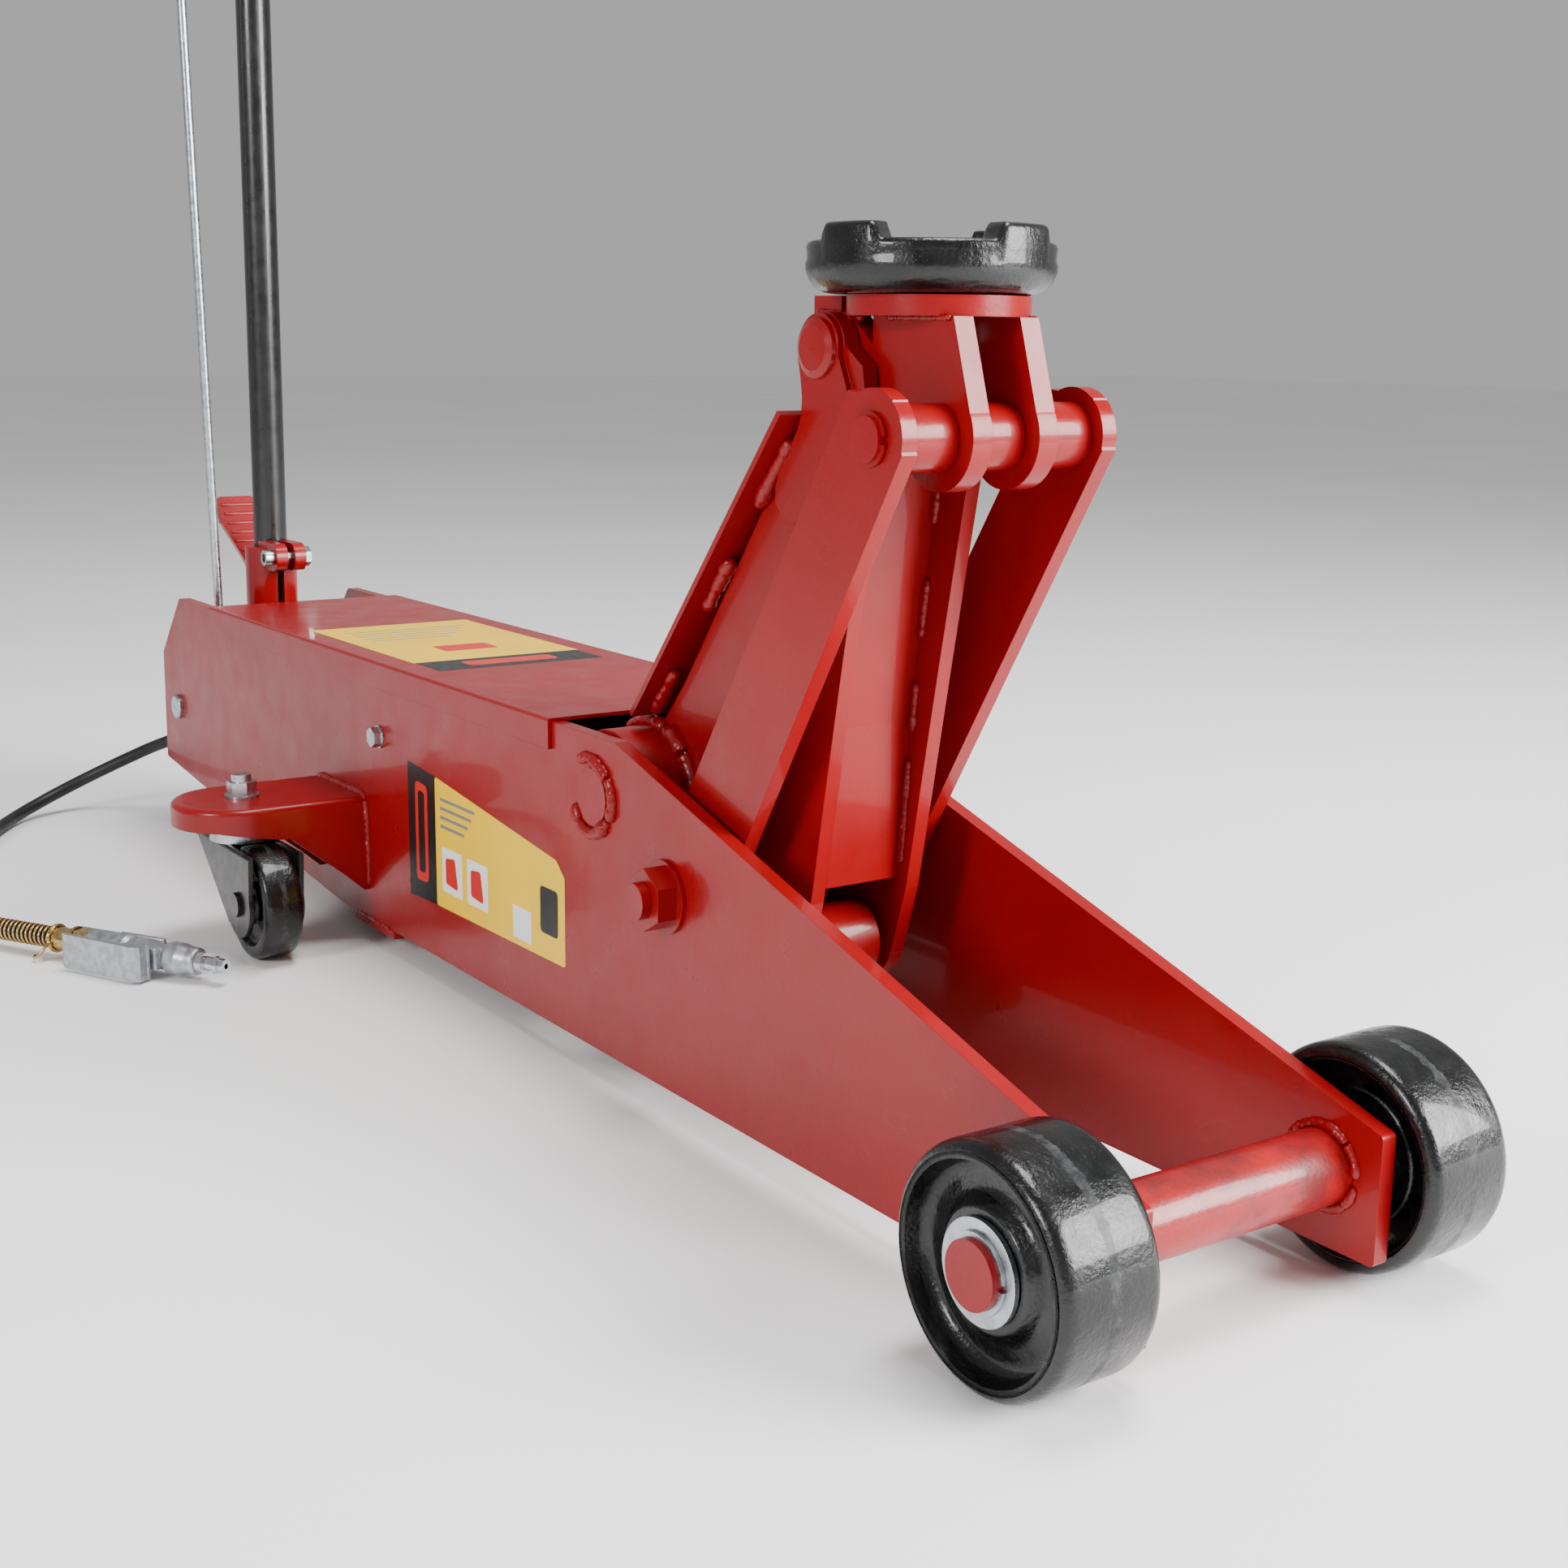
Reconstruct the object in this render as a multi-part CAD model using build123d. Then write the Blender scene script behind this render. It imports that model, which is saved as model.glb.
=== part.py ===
from build123d import *
import math
import os

os.makedirs("parts", exist_ok=True)

# Trolley jack, millimetres, +X forward, +Z up, saddle shown at full height.
# Every part is drawn with the front axle at x = 0 and moved by FRAME_SHIFT when saved,
# so the origin of the saved parts sits under the middle of the jack on the floor.
FRAME_SHIFT = 661.35

# chassis side plates
PLATE_OUT = 93.35
PLATE_IN = 82.95
PLATE_TOP = 237.6
COVER_REAR = -1215.0
COVER_FRONT = -541.0
COVER_THICK = 2.6
COVER_FLANGE = 21.5

# front axle and wheels
AXLE_Z = 64.3
AXLE_R = 17.8
AXLE_HALF = 163.75
WHEEL_R = 64.3
WHEEL_IN = 97.0
WHEEL_OUT = 160.0
FIT = 0.05

# lifting linkage: A arm pivot, B link pivot, C saddle pin, D cross pin, E crank pin
A = (-484.0, 196.0)
B = (-390.0, 149.0)
C = (-300.0, 491.5)
D = (-206.0, 444.5)
E = (-345.0, 116.0)
ARM_IN = 32.0
ARM_OUT = 42.0
NECK_OUT = 46.0
NECK_CURVE = ((-320.2, 486), (-317.2, 474), (-315.4, 463), (-316.2, 453), (-320, 444), (-326, 435.5))
PIVOT_R = 19.5
TUBE_R = 44.0
TUBE_HALF = 80.0
LINK_IN = 66.5
LINK_OUT = 77.0
LINK_BOLT_R = 12.0
SADDLE_PIN_R = 11.0
CROSS_PIN_R = 12.65
ROLLER_R = 25.0
ROLLER_HALF = 25.0

# saddle bracket and saddle
SADDLE_X = -255.0
BRACKET_X = -247.0
BRACKET_R = 52.5
BRACKET_LOW = 510.0
BRACKET_TOP = 521.5
LUG_IN = 16.8
LUG_OUT = 30.5
SADDLE_R = 71.4
SADDLE_TOP = 560.0
SADDLE_RIM = 551.0
SADDLE_FLOOR = 544.0

# casters
KING_X = -913.0
KING_Y = 180.0
CASTER_X = -870.0
CASTER_R = 46.0
CASTER_HALF = 16.0
BRACKET_HIGH = 124.0
BRACKET_SHEET = 6.0
FORK_TOP = 90.0
FORK_SHEET = 4.4

# ram
RAM_Z = 80.0
RAM_R = 50.0
RAM_BORE = 40.0
RAM_REAR = -985.0
RAM_FRONT = -610.0
ROD_R = 25.0
HEAD_FACE = -371.0

# handle, pedal and release gear
YOKE = (-1321.6, 128.0)
YOKE_SHAFT_R = 12.0
HANDLE_LEAN = 8.0 / 446.0
HANDLE_R = 16.0
HANDLE_LOW = 216.0
HANDLE_TOP = 1290.0
SOCKET_R = 25.0
SOCKET_TOP = 286.0
CLAMP_Z = 278.5
CLAMP_OUT = 43.5
PLUNGER_Z = 86.0
PLUNGER_R = 11.0
RELEASE_R = 4.3
RELEASE_LOW = (-1321.6, -47.4, 128.0)
RELEASE_HIGH = (-1304.0, -69.5, 1082.0)

# air hose and its tap
HOSE_R = 6.0
TOOL_Z = 16.0
TOOL_DIR = (0.8583, 0.5132)
TOOL_TIP = (-808.0, -236.0)


def side_plane(y):
    """Drawing plane facing -Y; local x is forward and local y is up."""
    return Plane(origin=(0, y, 0), x_dir=(1, 0, 0), z_dir=(0, -1, 0))


def outline(points, radius=0):
    """Closed outline as a face, with the corners rounded when a radius is given."""
    if radius:
        return make_face(FilletPolyline(*points, radius=radius, close=True))
    return make_face(Polyline(*points, close=True))


def slab(face, y_low, y_high):
    """Face drawn in x and z, given thickness between two y values."""
    return extrude(side_plane(y_high) * face, y_high - y_low)


def disc(centre, radius):
    """Round face at a point of a side drawing."""
    return Pos(centre[0], centre[1]) * Circle(radius)


def bar(start, end, radius, bore=0):
    """Round bar or tube between two points."""
    axis = Vector(*end) - Vector(*start)
    plane = Plane(origin=start, z_dir=axis)
    ring = Circle(radius)
    if bore:
        ring -= Circle(bore)
    return extrude(plane * ring, axis.length)


def cross_bar(centre, y_low, y_high, radius, bore=0):
    """Round bar or tube lying across the jack."""
    return bar((centre[0], y_low, centre[1]), (centre[0], y_high, centre[1]), radius, bore)


def hexagon(start, end, across):
    """Six-sided bar between two points."""
    axis = Vector(*end) - Vector(*start)
    plane = Plane(origin=start, z_dir=axis)
    face = RegularPolygon(radius=across / 2, side_count=6, major_radius=False)
    return extrude(plane * face, axis.length)


def both_sides(solid):
    """Two separate solids, one on each side of the middle plane."""
    return [solid, mirror(solid, about=Plane.XZ)]


def turned(points, centre, radii=None):
    """Profile of radius and y, turned about a cross axis through the centre."""
    line = FilletPolyline(*points, radius=radii, close=True) if radii else Polyline(*points, close=True)
    face = make_face(line)
    return Pos(centre[0], 0, centre[1]) * revolve(face, Axis.Y)


def save(name, *solids):
    """Write one node, moved into the shared frame."""
    moved = [Pos(FRAME_SHIFT, 0, 0) * item for item in solids]
    shape = moved[0] if len(moved) == 1 else Compound(children=moved)
    shape.label = name
    export_step(shape, "parts/" + name + ".step")
    return shape


# ---------------------------------------------------------------- chassis
def chassis_plate():
    points = [(-1308, 237.6), (-1364, 178), (-1367, 70), (-1004, 29), (-918, 20.5)]
    points += [(39.1, 19.4), (39.1, 93.2), (-455.4, 237.6)]
    plate = slab(outline(points, 3), -PLATE_OUT, -PLATE_IN)
    plate -= cross_bar((0, AXLE_Z), -120, -60, AXLE_R + FIT)
    plate -= cross_bar(A, -120, -60, PIVOT_R + FIT)
    plate -= cross_bar(B, -120, -60, LINK_BOLT_R + FIT)
    plate -= cross_bar(YOKE, -120, -60, YOKE_SHAFT_R + FIT)
    return plate


def top_cover():
    half = PLATE_OUT + 0.3
    length = COVER_FRONT - COVER_REAR
    top = PLATE_TOP + COVER_THICK
    cover = Pos(COVER_REAR + length / 2, 0, top - COVER_FLANGE / 2) * Box(
        length, 2 * (half + COVER_THICK), COVER_FLANGE)
    edges = cover.edges().filter_by(Axis.X).group_by(Axis.Z)[-1]
    cover = fillet(edges, 2.2)
    low = COVER_FLANGE - COVER_THICK
    cover -= Pos(COVER_REAR + length / 2, 0, PLATE_TOP - low / 2) * Box(length + 2, 2 * half, low)
    return cover


def bottom_strap():
    return Pos(-853.5, 0, 16.5) * Box(80, 2 * PLATE_OUT, 6)


def cylinder_plate():
    face = Rectangle(2 * PLATE_IN, 112)
    plate = Pos(-642, 0, 82) * extrude(Plane.YZ * face, 14)
    plate -= bar((-660, 0, RAM_Z), (-610, 0, RAM_Z), RAM_R + FIT)
    return plate


def pump_shelf():
    return Pos(-1085, 0, 53) * Box(190, 2 * PLATE_IN, 6)


def valve_shelf():
    return Pos(-1322, -62.5, 71) * Box(60, 40.9, 6)


def front_axle():
    return cross_bar((0, AXLE_Z), -AXLE_HALF, AXLE_HALF, AXLE_R)


def axle_spacer():
    return cross_bar((0, AXLE_Z), -PLATE_IN, PLATE_IN, 21.5, AXLE_R + FIT)


def axle_washers():
    return both_sides(cross_bar((0, AXLE_Z), -158.0, -155.3, 27, AXLE_R + FIT))


def snap_rings(centre, y_low, y_high, radius, bore):
    """Open clip rings, one on each side."""
    ring = cross_bar(centre, y_low, y_high, radius, bore)
    ring -= Pos(centre[0] + bore, (y_low + y_high) / 2, centre[1]) * Box(12, 9, 4)
    return both_sides(ring)


def axle_rings():
    return snap_rings((0, AXLE_Z), -160.2, -158.2, 20.8, AXLE_R + FIT)


def front_wheel():
    hub = 31.0
    points = [(AXLE_R + FIT, -155.0), (AXLE_R + FIT, -WHEEL_IN), (hub + 1, -WHEEL_IN)]
    points += [(hub + 6, -111), (52, -111), (54.5, -WHEEL_IN), (WHEEL_R, -WHEEL_IN)]
    points += [(WHEEL_R, -WHEEL_OUT), (54.5, -WHEEL_OUT), (52, -144), (hub + 6, -147), (hub, -155)]
    radii = [1, 1, 3, 6, 5, 1.5, 9, 9, 1.5, 6, 7, 3]
    return turned(points, (0, AXLE_Z), radii)


def link_bolts():
    bolt = cross_bar(B, -118, -58, LINK_BOLT_R)
    bolt += hexagon((B[0], -66.2, B[1]), (B[0], -56, B[1]), 36)
    return both_sides(bolt)


def link_washers():
    inner = cross_bar(B, -PLATE_IN, -77.3, 24, LINK_BOLT_R + FIT)
    outer = cross_bar(B, -96.4, -PLATE_OUT, 24, LINK_BOLT_R + FIT)
    return both_sides(inner) + both_sides(outer)


def link_nuts():
    nut = hexagon((B[0], -110.5, B[1]), (B[0], -96.4, B[1]), 36)
    nut -= cross_bar(B, -120, -90, LINK_BOLT_R + FIT)
    return both_sides(nut)


def side_screws():
    screw = hexagon((-831.4, -101.4, 178.8), (-831.4, -95.0, 178.8), 14.5)
    screw += cross_bar((-831.4, 178.8), -95.0, -PLATE_OUT, 9.2)
    return both_sides(screw)


# ---------------------------------------------------------------- casters
def caster_bracket():
    depth = 90.0
    base = BRACKET_HIGH - depth

    def shell(inset):
        half = 51.0 - inset
        body = Pos(KING_X, -(186 + PLATE_OUT) / 2) * Rectangle(2 * half, 186 - PLATE_OUT)
        return body + Pos(KING_X, -186) * Circle(half)

    solid = extrude(Plane.XY.offset(base) * shell(0), depth)
    edges = solid.edges().group_by(Axis.Z)[-1]
    solid = fillet(edges.filter_by(lambda e: abs(e.center().Y + PLATE_OUT) > 1), 5)
    solid -= extrude(Plane.XY.offset(base - 1) * shell(BRACKET_SHEET), depth + 1 - BRACKET_SHEET)
    cut = [(-60, 30), (-60, 45), (-97, 45), (-114, 60), (-158, 95), (-215, 105)]
    cut += [(-245, 105), (-245, 30)]
    side = Plane(origin=(KING_X - 60, 0, 0), x_dir=(0, 1, 0), z_dir=(1, 0, 0))
    solid -= extrude(side * outline(cut), 120)
    solid -= bar((KING_X, -KING_Y, 100), (KING_X, -KING_Y, 130), 8 + FIT)
    return solid


def caster_races():
    x, y = KING_X, -KING_Y
    race = bar((x, y, FORK_TOP), (x, y, 104), 27, 8 + FIT)
    race += bar((x, y, 104), (x, y, 117.9), 33, 8 + FIT)
    return both_sides(race)


def caster_kingpins():
    x, y = KING_X, -KING_Y
    pin = bar((x, y, 84), (x, y, 143), 8)
    pin += bar((x, y, 81.2), (x, y, FORK_TOP - FORK_SHEET - 0.1), 11)
    pin += hexagon((x, y, 126.5), (x, y, 137), 21)
    pin += bar((x, y, 124.05), (x, y, 126.5), 14)
    return both_sides(pin)


def caster_fork():
    rear, front = KING_X - 49, KING_X + 72
    leg = outline([(rear, FORK_TOP), (front, FORK_TOP), (front - 4, 44), (-891, 26)])
    leg += disc((CASTER_X, CASTER_R), 27)
    side = slab(leg, -KING_Y - 23, -KING_Y - 19)
    other = slab(leg, -KING_Y + 19, -KING_Y + 23)
    roof = FORK_TOP - FORK_SHEET / 2
    top = Pos(rear + 32.5, -KING_Y, roof) * Box(65, 46, FORK_SHEET)
    fork = side + other + top
    upper = fork.edges().filter_by(Axis.X).group_by(Axis.Z)[-1]
    fork = fillet(upper.filter_by(lambda e: abs(e.center().Y + KING_Y) > 22), 3)
    fork -= bar((KING_X, -KING_Y, 70), (KING_X, -KING_Y, 100), 8 + FIT)
    fork -= cross_bar((CASTER_X, CASTER_R), -220, -140, 6 + FIT)
    return fork


def caster_axle():
    axle = cross_bar((CASTER_X, CASTER_R), -KING_Y - 26, -KING_Y + 26, 6)
    for side in (-1, 1):
        y = -KING_Y + side * 24.6
        head = cross_bar((CASTER_X, CASTER_R), y - 1.6, y + 1.6, 10)
        axle += head
    return axle


def caster_wheel():
    r, h, y = CASTER_R, CASTER_HALF, -KING_Y
    points = [(6 + FIT, y - 18.5), (6 + FIT, y + 18.5), (14, y + 18.5), (17, y + 10)]
    points += [(33, y + 10), (35, y + h), (r, y + h), (r, y - h), (35, y - h), (33, y - 10)]
    points += [(17, y - 10), (14, y - 18.5)]
    radii = [0.5, 0.5, 1, 3, 3, 1, 6, 6, 1, 3, 3, 1]
    return turned(points, (CASTER_X, CASTER_R), radii)


# ---------------------------------------------------------------- lift arm
def arm_side_plates():
    points = list(NECK_CURVE) + [(-349, 409.5), (-450.5, 273.6)]
    points += [(-489, 230), (-512, 196), (-484, 168), (-420, 152), (-372, 108), (-362, 95)]
    points += [(-345, 88.8), (-329.7, 94.3), (-318, 110), (-304, 156), (-278.6, 294)]
    points += [(-252.5, 430), (-262, 482), (-281, 495)]
    face = outline(points) + disc(C, 21) + disc(E, 27) + disc(A, 30)
    plate = slab(face, -ARM_OUT, -ARM_IN)
    plate -= cross_bar(A, -50, -20, TUBE_R + FIT)
    plate -= cross_bar(C, -50, -20, SADDLE_PIN_R + FIT)
    plate -= cross_bar(E, -50, -20, 10 + FIT)
    return both_sides(plate)


def neck_plates():
    points = list(NECK_CURVE) + [(-337, 420), (-342, 410), (-342, 400), (-335, 392), (-322, 388)]
    points += [(-300, 410), (-268, 452), (-268, 462), (-284, 495)]
    face = outline(points) + disc(C, 20)
    plate = slab(face, -NECK_OUT, -ARM_OUT)
    plate -= cross_bar(C, -50, -20, SADDLE_PIN_R + FIT)
    return both_sides(plate)


def arm_rear_plate():
    top = Vector(-317.6, 452.4)
    low = Vector(-489.0, 246.0)
    along = (low - top).normalized()
    out = Vector(along.Y, -along.X) if along.Y < 0 else Vector(-along.Y, along.X)
    if out.X > 0:
        out = out * -1
    near = [top + out * 0.4, low + out * 0.4]
    far = [low + out * 4.4, top + out * 4.4]
    points = [(p.X, p.Y) for p in near + far]
    return slab(outline(points), -60, 60)


def arm_front_web():
    inner = [(-279.5, 440), (-297.4, 312), (-303.7, 264.5), (-308.8, 203), (-312.5, 162)]
    outer = [(x - 6, z) for x, z in reversed(inner)]
    return slab(outline(inner + outer), -ARM_IN, ARM_IN)


def arm_pivot_tube():
    return cross_bar(A, -TUBE_HALF, TUBE_HALF, TUBE_R, PIVOT_R + FIT)


def crank_roller():
    return cross_bar(E, -ROLLER_HALF, ROLLER_HALF, ROLLER_R, 10 + FIT)


def crank_pin():
    return cross_bar(E, -ARM_OUT - 3, ARM_OUT + 3, 10)


def arm_pivot_shaft():
    return cross_bar(A, -PLATE_OUT - 1.6, PLATE_OUT + 1.6, PIVOT_R)


def saddle_pin():
    pin = cross_bar(C, -NECK_OUT - 1, NECK_OUT + 1, SADDLE_PIN_R)
    head = Pos(C[0], 0, C[1]) * revolve(make_face(Polyline(
        (0, -NECK_OUT), (18, -NECK_OUT), (17.2, -48.4), (13, -50.4), (0, -51), close=True)), Axis.Y)
    return pin + head + mirror(head, about=Plane.XZ)


# ---------------------------------------------------------------- links and cross pin
def link_bars():
    points = [(-415.6, 175), (-227.3, 470.2), (-188, 466), (-178.6, 437)]
    points += [(-299, 238), (-358.4, 139.5)]
    face = outline(points) + disc(B, 31.5) + disc(D, 27.4)
    plate = slab(face, -LINK_OUT, -LINK_IN)
    plate -= cross_bar(B, -90, -50, LINK_BOLT_R + FIT)
    plate -= cross_bar(D, -90, -50, CROSS_PIN_R + FIT)
    return both_sides(plate)


def cross_pin_rings():
    return snap_rings(D, -79.6, -77.4, 15, CROSS_PIN_R + FIT)


def cross_pin():
    return cross_bar(D, -82.0, 82.0, CROSS_PIN_R)


def cross_spacers():
    outer = cross_bar(D, -LINK_IN, -LUG_OUT - 0.3, 19, CROSS_PIN_R + FIT)
    middle = cross_bar(D, -LUG_IN + 0.3, LUG_IN - 0.3, 19, CROSS_PIN_R + FIT)
    return both_sides(outer) + [middle]


# ---------------------------------------------------------------- saddle bracket and saddle
def bracket_plate():
    plate = bar((BRACKET_X, 0, BRACKET_LOW), (BRACKET_X, 0, BRACKET_TOP), BRACKET_R)
    plate -= bar((SADDLE_X, 0, 500), (SADDLE_X, 0, 530), 13.5 + FIT)
    return plate


def bracket_lugs():
    top = BRACKET_LOW
    face = outline([(-326, top), (-324, 491.5), (-310.7, 470), (-219.4, 417.7),
                    (-176.5, 449), (-196, top)])
    face += disc(C, 24)
    face += disc(D, 30)
    face -= outline([(-290, top + 1), (-268, 494), (-268, top + 1)])
    face -= outline([(-340, top), (-340, top + 20), (-180, top + 20), (-180, top)])
    lug = slab(face, -LUG_OUT, -LUG_IN)
    cap = outline([(-326, top), (-299, top), (-299, BRACKET_TOP), (-326, BRACKET_TOP)])
    lug += slab(cap, -LUG_OUT, -LUG_IN) - bar(
        (BRACKET_X, 0, 500), (BRACKET_X, 0, 530), BRACKET_R)
    lug -= cross_bar(C, -50, -10, SADDLE_PIN_R + FIT)
    lug -= cross_bar(D, -50, -10, CROSS_PIN_R + 0.1)
    return both_sides(lug)


def saddle():
    profile = [(0, BRACKET_TOP + 0.4), (58, BRACKET_TOP + 0.4), (65, 523.5), (70.4, 528.5)]
    profile += [(SADDLE_R, 536), (SADDLE_R, SADDLE_TOP - 1), (72.1, SADDLE_TOP)]
    profile += [(52, SADDLE_TOP), (48, SADDLE_FLOOR), (0, SADDLE_FLOOR)]
    face = make_face(Polyline(*profile, close=True))
    body = Pos(SADDLE_X, 0, 0) * revolve(Plane.XZ * face, Axis.Z)
    height = SADDLE_TOP - SADDLE_RIM
    for azimuth in (52, 142, 232, 322):
        tool = Pos(0, 0, SADDLE_RIM + height / 2 + 1) * extrude(
            make_face(Polyline((20, 0), (95, 95 * math.tan(math.radians(23.5))),
                               (95, -95 * math.tan(math.radians(23.5))), close=True)),
            height / 2 + 1, both=True)
        body -= Pos(SADDLE_X, 0, 0) * Rot(0, 0, azimuth) * tool
    body += bar((SADDLE_X, 0, 494), (SADDLE_X, 0, BRACKET_TOP + 2), 13.5)
    return body


def saddle_clip():
    ring = bar((SADDLE_X, 0, 506), (SADDLE_X, 0, 508.4), 16.2, 13.5 + FIT)
    return ring


# ---------------------------------------------------------------- ram and pump
def ram_cylinder():
    tube = bar((RAM_REAR, 0, RAM_Z), (RAM_FRONT, 0, RAM_Z), RAM_R)
    tube -= bar((RAM_REAR + 12, 0, RAM_Z), (RAM_FRONT + 1, 0, RAM_Z), RAM_BORE)
    return tube


def ram_gland():
    ring = bar((RAM_FRONT - 20, 0, RAM_Z), (RAM_FRONT, 0, RAM_Z), RAM_BORE - 0.3, ROD_R + FIT)
    ring += bar((RAM_FRONT, 0, RAM_Z), (RAM_FRONT + 22, 0, RAM_Z), 46, ROD_R + FIT)
    return ring


def ram_rod():
    rod = bar((-790, 0, RAM_Z), (-391, 0, RAM_Z), ROD_R)
    rod += bar((-790, 0, RAM_Z), (-765, 0, RAM_Z), RAM_BORE - 0.1)
    return rod


def ram_head():
    head = Pos((HEAD_FACE - 391) / 2, 0, 82.5) * Box(HEAD_FACE + 391, 56, 105)
    return fillet(head.edges().filter_by(Axis.X), 8)


def pump_block():
    block = Pos(-1092.5, 0, 91) * Box(215, 128, 70)
    block = chamfer(block.edges().filter_by(Axis.X), 4)
    block -= bar((-1201, 0, PLUNGER_Z), (-1080, 0, PLUNGER_Z), PLUNGER_R + FIT)
    return block


def pump_plunger():
    x = YOKE[0] + 10.35
    rod = bar((x, 0, PLUNGER_Z), (-1095, 0, PLUNGER_Z), PLUNGER_R)
    rod += bar((x, 0, PLUNGER_Z), (x + 7, 0, PLUNGER_Z), 16)
    return rod


def oil_tank():
    tank = Pos(-1092.5, 0, 163) * Box(215, 140, 74)
    return fillet(tank.edges().filter_by(Axis.X), 9)


def filler_plug():
    plug = hexagon((-1150, 30, 204), (-1150, 30, 212), 17)
    plug += bar((-1150, 30, 200), (-1150, 30, 204), 11)
    return plug


def air_motor():
    motor = bar((-1280, -52, 105), (-1200, -52, 105), 22)
    for x in (-1268, -1256, -1244, -1232, -1220):
        motor -= bar((x, -52, 105), (x + 5, -52, 105), 23, 20)
    return motor


def air_fitting():
    tube = bar((-1345, -70, 95), (-1280, -70, 95), 7)
    tube += hexagon((-1300, -70, 95), (-1286, -70, 95), 17)
    tube += hexagon((-1345, -70, 95), (-1332, -70, 95), 17)
    return tube


def release_block():
    block = Pos(-1321.6, -49.5, 86) * Box(44, 17, 24)
    block -= bar((-1321.6, -47.4, 80), (-1321.6, -47.4, 100), RELEASE_R + FIT)
    return block


def release_pipe():
    return bar((-1299.6, -52, 78.5), (-1200, -52, 78.5), 3.2)


# ---------------------------------------------------------------- handle
def handle_x(z):
    """Middle of the leaning handle at a height."""
    return -1303.0 + (z - 226.0) * HANDLE_LEAN


def yoke_pins():
    pin = cross_bar(YOKE, -PLATE_OUT - 5, -60, YOKE_SHAFT_R)
    return both_sides(fillet(pin.edges().group_by(Axis.Y)[0], 2))


def pedal_pin():
    return cross_bar(YOKE, -39.2, 39.2, YOKE_SHAFT_R)


def handle_yoke():
    x, z = YOKE
    middle = handle_x(200)
    upper = [(middle - 23, 190), (middle - 23, 206), (middle + 23, 206), (middle + 23, 190)]
    inner = outline([(x - 18, z + 4)] + upper + [(x + 19, z + 4), (x + 12, 84), (x - 12, 84)])
    inner += disc(YOKE, 21) + disc((x, PLUNGER_Z), 12)
    arm = slab(inner, -39, -28.5)
    outer = outline([(x - 16, z + 4)] + upper + [(x + 17, z + 4)]) + disc(YOKE, 19)
    arm += slab(outer, -80, -66)
    yoke = arm + mirror(arm, about=Plane.XZ)
    yoke += Pos(middle, 0, 198) * Box(46, 160, 16)
    yoke += bar((handle_x(203), 0, 203), (handle_x(SOCKET_TOP), 0, SOCKET_TOP), SOCKET_R)
    clamp = handle_x(CLAMP_Z) + CLAMP_OUT
    ears = Pos(clamp - 13, 0, CLAMP_Z) * Box(52, 30, 27)
    yoke += fillet(ears.edges().filter_by(Axis.Y).group_by(Axis.X)[-1], 13)
    yoke -= bar((handle_x(215), 0, 215), (handle_x(300), 0, 300), HANDLE_R + FIT)
    yoke -= Pos(handle_x(260) + 37, 0, 262) * Box(56, 7, 80)
    yoke -= bar((clamp, -30, CLAMP_Z), (clamp, 30, CLAMP_Z), 5 + FIT)
    yoke -= cross_bar(YOKE, -90, 90, YOKE_SHAFT_R + FIT)
    yoke -= cross_bar((x, PLUNGER_Z), -50, 50, 5 + FIT)
    yoke -= bar(release_point(180), release_point(215), 6)
    return yoke


def yoke_roller():
    return cross_bar((YOKE[0], PLUNGER_Z), -20, 20, 10, 5 + FIT)


def yoke_roller_pin():
    return cross_bar((YOKE[0], PLUNGER_Z), -40.5, 40.5, 5)


def clamp_bolt():
    x = handle_x(CLAMP_Z) + CLAMP_OUT
    bolt = bar((x, -15, CLAMP_Z), (x, 23.5, CLAMP_Z), 5)
    bolt += bar((x, -24, CLAMP_Z), (x, -15, CLAMP_Z), 7.6)
    bolt -= hexagon((x, -25, CLAMP_Z), (x, -19, CLAMP_Z), 8)
    return bolt


def clamp_nut():
    x = handle_x(CLAMP_Z) + CLAMP_OUT
    nut = hexagon((x, 15, CLAMP_Z), (x, 22, CLAMP_Z), 17)
    nut -= bar((x, 10, CLAMP_Z), (x, 30, CLAMP_Z), 5 + FIT)
    return nut


def handle_tube():
    return bar((handle_x(HANDLE_LOW), 0, HANDLE_LOW), (handle_x(HANDLE_TOP), 0, HANDLE_TOP),
               HANDLE_R, 13)


def handle_grip():
    low, high = 1130.0, 1295.0
    grip = bar((handle_x(low), 0, low), (handle_x(high), 0, high), 19.5)
    grip -= bar((handle_x(low - 1), 0, low - 1), (handle_x(1290), 0, 1290), HANDLE_R + 0.02)
    return grip


def release_point(z):
    """Point on the release rod at a height."""
    share = (z - RELEASE_LOW[2]) / (RELEASE_HIGH[2] - RELEASE_LOW[2])
    return tuple(a + (b - a) * share for a, b in zip(RELEASE_LOW, RELEASE_HIGH))


def rod_guide():
    x, y, z = release_point(1010)
    hx = handle_x(1010)
    clip = bar((handle_x(1000), 0, 1000), (handle_x(1020), 0, 1020), 20, HANDLE_R + 0.02)
    arm = Pos((x + hx) / 2, (y - 16) / 2 - 2, 1010) * Box(12, abs(y) - 14, 12)
    arm -= bar((handle_x(990), 0, 990), (handle_x(1030), 0, 1030), HANDLE_R + 1)
    eye = bar(release_point(1004), release_point(1016), 10)
    guide = clip + arm + eye
    guide -= bar(release_point(990), release_point(1030), RELEASE_R + 0.08)
    return guide


def release_rod():
    return bar(RELEASE_LOW, RELEASE_HIGH, RELEASE_R) + Pos(*RELEASE_LOW) * Sphere(5.4)


def release_knob():
    low, high = release_point(1050), release_point(1092)
    knob = bar(low, high, 15)
    knob = fillet(knob.edges(), 3)
    knob -= bar(release_point(1040), release_point(1082), RELEASE_R + FIT)
    return knob


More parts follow.
